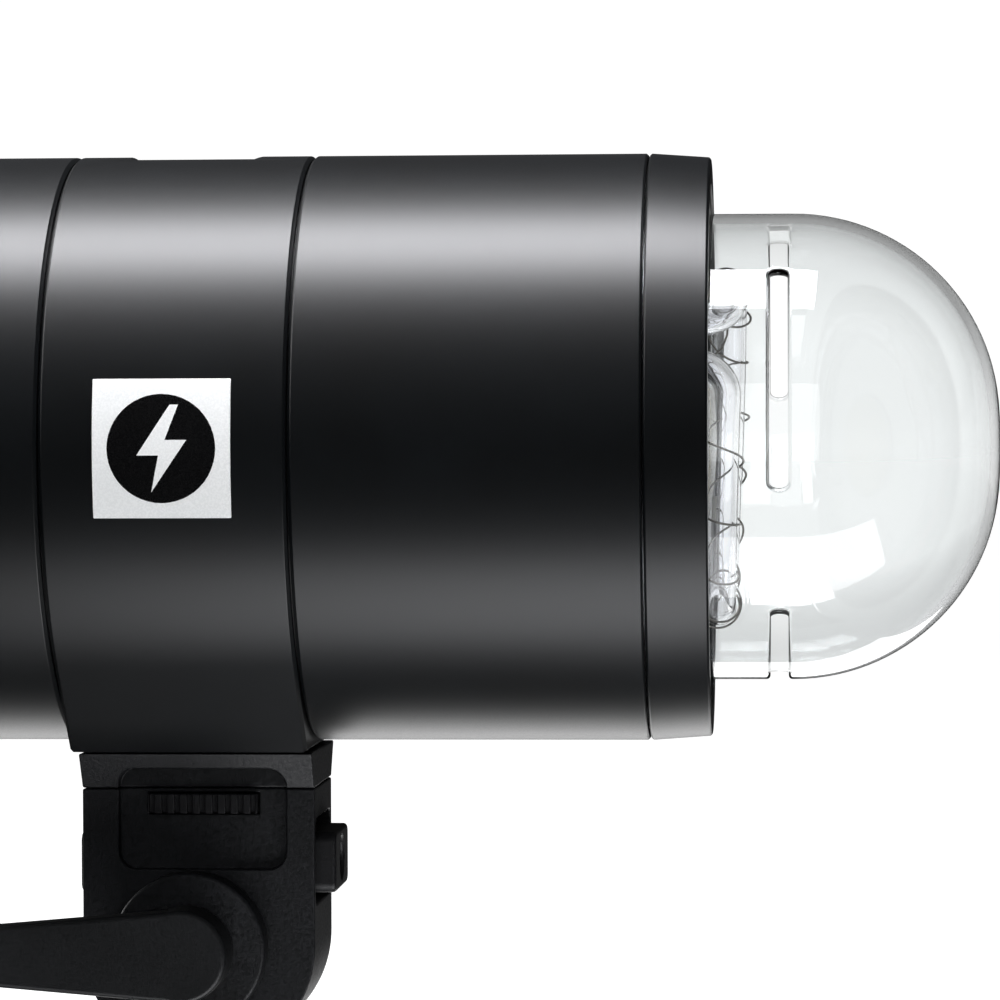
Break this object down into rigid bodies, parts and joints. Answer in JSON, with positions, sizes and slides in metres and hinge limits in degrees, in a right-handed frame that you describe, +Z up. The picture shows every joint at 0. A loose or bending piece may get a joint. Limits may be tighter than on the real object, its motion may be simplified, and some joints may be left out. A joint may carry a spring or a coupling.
{
  "type": "monolight strobe",
  "caption": "Cylindrical black studio flash head with a clear glass dome, rotating accessory ring and tilting stand bracket with umbrella holder.",
  "frame": {"origin": "centre of the stand socket's mouth, straight under the tilt axle and the middle of the saddle band", "axes": "+X forward along the lamp axis, towards the glass dome; +Z up along the stand socket's axis; +Y to the far side from the tilt lever"},
  "size_m": [0.3225, 0.1164, 0.2272],
  "materials": {
    "black_tube": "satin powder coat with a fine speckle",
    "black_ring": "satin, slightly smoother than the barrels",
    "window_plastic": "matt radio window",
    "badge_enamel": "white lacquer with a black mark",
    "flange_alloy": "machined, satin",
    "steel_bright": "plain steel, satin",
    "spring_steel": "cold-rolled",
    "black_screw": "black oxide",
    "dome_glass": "clear blown glass",
    "quartz": "clear quartz",
    "lens_acrylic": "frosted lens",
    "silicone": "translucent silicone",
    "white_reflector": "matt white heat-proof paint",
    "electrode": "tungsten grey",
    "ceramic": "unglazed steatite",
    "phosphor": "yellow phosphor on a white base",
    "heatsink": "extruded",
    "coil_tape": "varnished winding",
    "can_sleeve": "shrink sleeve",
    "glass_epoxy": "glass-fibre laminate",
    "circuit_board": "green solder mask",
    "transformer": "varnished core and winding",
    "fan_plastic": "glass-filled plastic",
    "cover_plastic": "fine moulded grain",
    "display_glass": "dark glass",
    "grey_key": "silicone key",
    "orange_key": "silicone key",
    "knob_plastic": "moulded, fine grain",
    "red_rocker": "moulded",
    "inlet_plastic": "moulded",
    "nickel": "nickel plate",
    "red_lens": "dark red window",
    "handle_metal": "satin powder coat",
    "grip_rubber": "matt moulded",
    "bracket_cast": "coarse-grained black die casting",
    "black_nylon": "glass-filled nylon",
    "brass": "turned"
  },
  "bodies": {
    "stand_bracket": {"stand_bracket": "bracket_cast", "tilt_axle": "steel_bright"},
    "lamp_head": {"front_barrel": "black_tube", "saddle_band": "black_tube", "rear_barrel": "black_tube", "antenna_window": "window_plastic", "badge": "badge_enamel", "front_flange": "flange_alloy", "ring_guide_pins": "steel_bright", "glass_dome": "dome_glass", "dome_seal": "silicone", "dome_springs": "spring_steel", "reflector_plate": "white_reflector", "flash_tube": "quartz", "tube_electrodes": "electrode", "tube_sockets": "ceramic", "trigger_wire": "electrode", "modelling_led": "phosphor", "led_lens": "lens_acrylic", "led_heatsink": "heatsink", "trigger_coil": "coil_tape", "capacitors": "can_sleeve", "capacitor_plates": "glass_epoxy", "charger_board": "circuit_board", "charger_parts": "transformer", "fan_frame": "fan_plastic", "rear_cover": "cover_plastic", "cover_screws": "black_screw", "control_board": "circuit_board", "display": "display_glass", "mains_inlet": "inlet_plastic", "inlet_pins": "nickel", "sync_jack": "nickel", "sensor_eye": "red_lens", "rear_handle": "handle_metal", "handle_grip": "grip_rubber", "shoe": "bracket_cast", "shoe_screws": "steel_bright", "tilt_block": "bracket_cast", "latch_cover": "steel_bright", "latch_spring_near": "spring_steel", "latch_spring_far": "spring_steel", "umbrella_bush": "black_nylon"},
    "lock_ring": {"lock_ring": "black_ring"},
    "fan_rotor": {"fan_rotor": "fan_plastic"},
    "soft_key_1": {"soft_key_1": "grey_key"},
    "soft_key_2": {"soft_key_2": "grey_key"},
    "soft_key_3": {"soft_key_3": "grey_key"},
    "test_key": {"test_key": "orange_key"},
    "lamp_key": {"lamp_key": "grey_key"},
    "dial_shaft": {"dial_shaft": "steel_bright"},
    "control_dial": {"control_dial": "knob_plastic"},
    "power_rocker": {"power_rocker": "red_rocker"},
    "release_button_near": {"release_button_near": "black_nylon"},
    "release_button_far": {"release_button_far": "black_nylon"},
    "umbrella_pad": {"umbrella_pad": "brass"},
    "umbrella_knob": {"umbrella_knob": "knob_plastic"},
    "tilt_lever": {"tilt_lever": "knob_plastic"},
    "clamp_pad": {"clamp_pad": "brass"},
    "clamp_knob": {"clamp_knob": "knob_plastic"}
  },
  "joints": [
    {"name": "head_tilt", "type": "hinge", "parent": "stand_bracket", "child": "lamp_head", "pos_m": [0, 0, 0.0716], "axis": [0, 1, 0], "range_deg": [-75, 75]},
    {"name": "tilt_lever_turn", "type": "hinge", "parent": "stand_bracket", "child": "tilt_lever", "pos_m": [0, 0, 0.0716], "axis": [0, 1, 0], "range_deg": [0, 75]},
    {"name": "clamp_pad_slide", "type": "slide", "parent": "stand_bracket", "child": "clamp_pad", "axis": [0, 1, 0], "range_m": [0, 0.00225]},
    {"name": "clamp_knob_turn", "type": "hinge", "parent": "clamp_pad", "child": "clamp_knob", "pos_m": [0, 0, 0.019], "axis": [0, 1, 0], "range_deg": [0, 540]},
    {"name": "lock_ring_turn", "type": "hinge", "parent": "lamp_head", "child": "lock_ring", "pos_m": [0.08975, 0, 0.1692], "axis": [1, 0, 0], "range_deg": [0, 30]},
    {"name": "fan_spin", "type": "hinge", "parent": "lamp_head", "child": "fan_rotor", "pos_m": [-0.09525, 0, 0.1692], "axis": [1, 0, 0], "continuous": true},
    {"name": "soft_key_1_press", "type": "slide", "parent": "lamp_head", "child": "soft_key_1", "axis": [1, 0, 0], "range_m": [0, 0.0008], "stiffness_N_per_m": 2500},
    {"name": "soft_key_2_press", "type": "slide", "parent": "lamp_head", "child": "soft_key_2", "axis": [1, 0, 0], "range_m": [0, 0.0008], "stiffness_N_per_m": 2500},
    {"name": "soft_key_3_press", "type": "slide", "parent": "lamp_head", "child": "soft_key_3", "axis": [1, 0, 0], "range_m": [0, 0.0008], "stiffness_N_per_m": 2500},
    {"name": "test_key_press", "type": "slide", "parent": "lamp_head", "child": "test_key", "axis": [1, 0, 0], "range_m": [0, 0.0008], "stiffness_N_per_m": 2500},
    {"name": "lamp_key_press", "type": "slide", "parent": "lamp_head", "child": "lamp_key", "axis": [1, 0, 0], "range_m": [0, 0.0008], "stiffness_N_per_m": 2500},
    {"name": "dial_press", "type": "slide", "parent": "lamp_head", "child": "dial_shaft", "axis": [1, 0, 0], "range_m": [0, 0.0006], "stiffness_N_per_m": 4000},
    {"name": "dial_turn", "type": "hinge", "parent": "dial_shaft", "child": "control_dial", "pos_m": [-0.12445, 0, 0.1557], "axis": [1, 0, 0], "continuous": true},
    {"name": "power_rocker_tip", "type": "hinge", "parent": "lamp_head", "child": "power_rocker", "pos_m": [-0.11925, 0.0145, 0.1327], "axis": [0, -1, 0], "range_deg": [0, 14]},
    {"name": "release_near_press", "type": "slide", "parent": "lamp_head", "child": "release_button_near", "axis": [0, 1, 0], "range_m": [0, 0.002], "stiffness_N_per_m": 1500, "deforming": ["latch_spring_near"]},
    {"name": "release_far_press", "type": "slide", "parent": "lamp_head", "child": "release_button_far", "axis": [0, -1, 0], "range_m": [0, 0.002], "stiffness_N_per_m": 1500, "deforming": ["latch_spring_far"]},
    {"name": "umbrella_pad_slide", "type": "slide", "parent": "lamp_head", "child": "umbrella_pad", "axis": [0, -1, 0], "range_m": [0, 0.0015]},
    {"name": "umbrella_knob_turn", "type": "hinge", "parent": "umbrella_pad", "child": "umbrella_knob", "pos_m": [0.0176, 0, 0.0876], "axis": [0, -1, 0], "range_deg": [0, 540]}
  ],
  "couplings": [
    {"joint": "clamp_knob_turn", "follows": "clamp_pad_slide", "rad_per_m": 4188.8},
    {"joint": "umbrella_knob_turn", "follows": "umbrella_pad_slide", "rad_per_m": 6283.2}
  ]
}
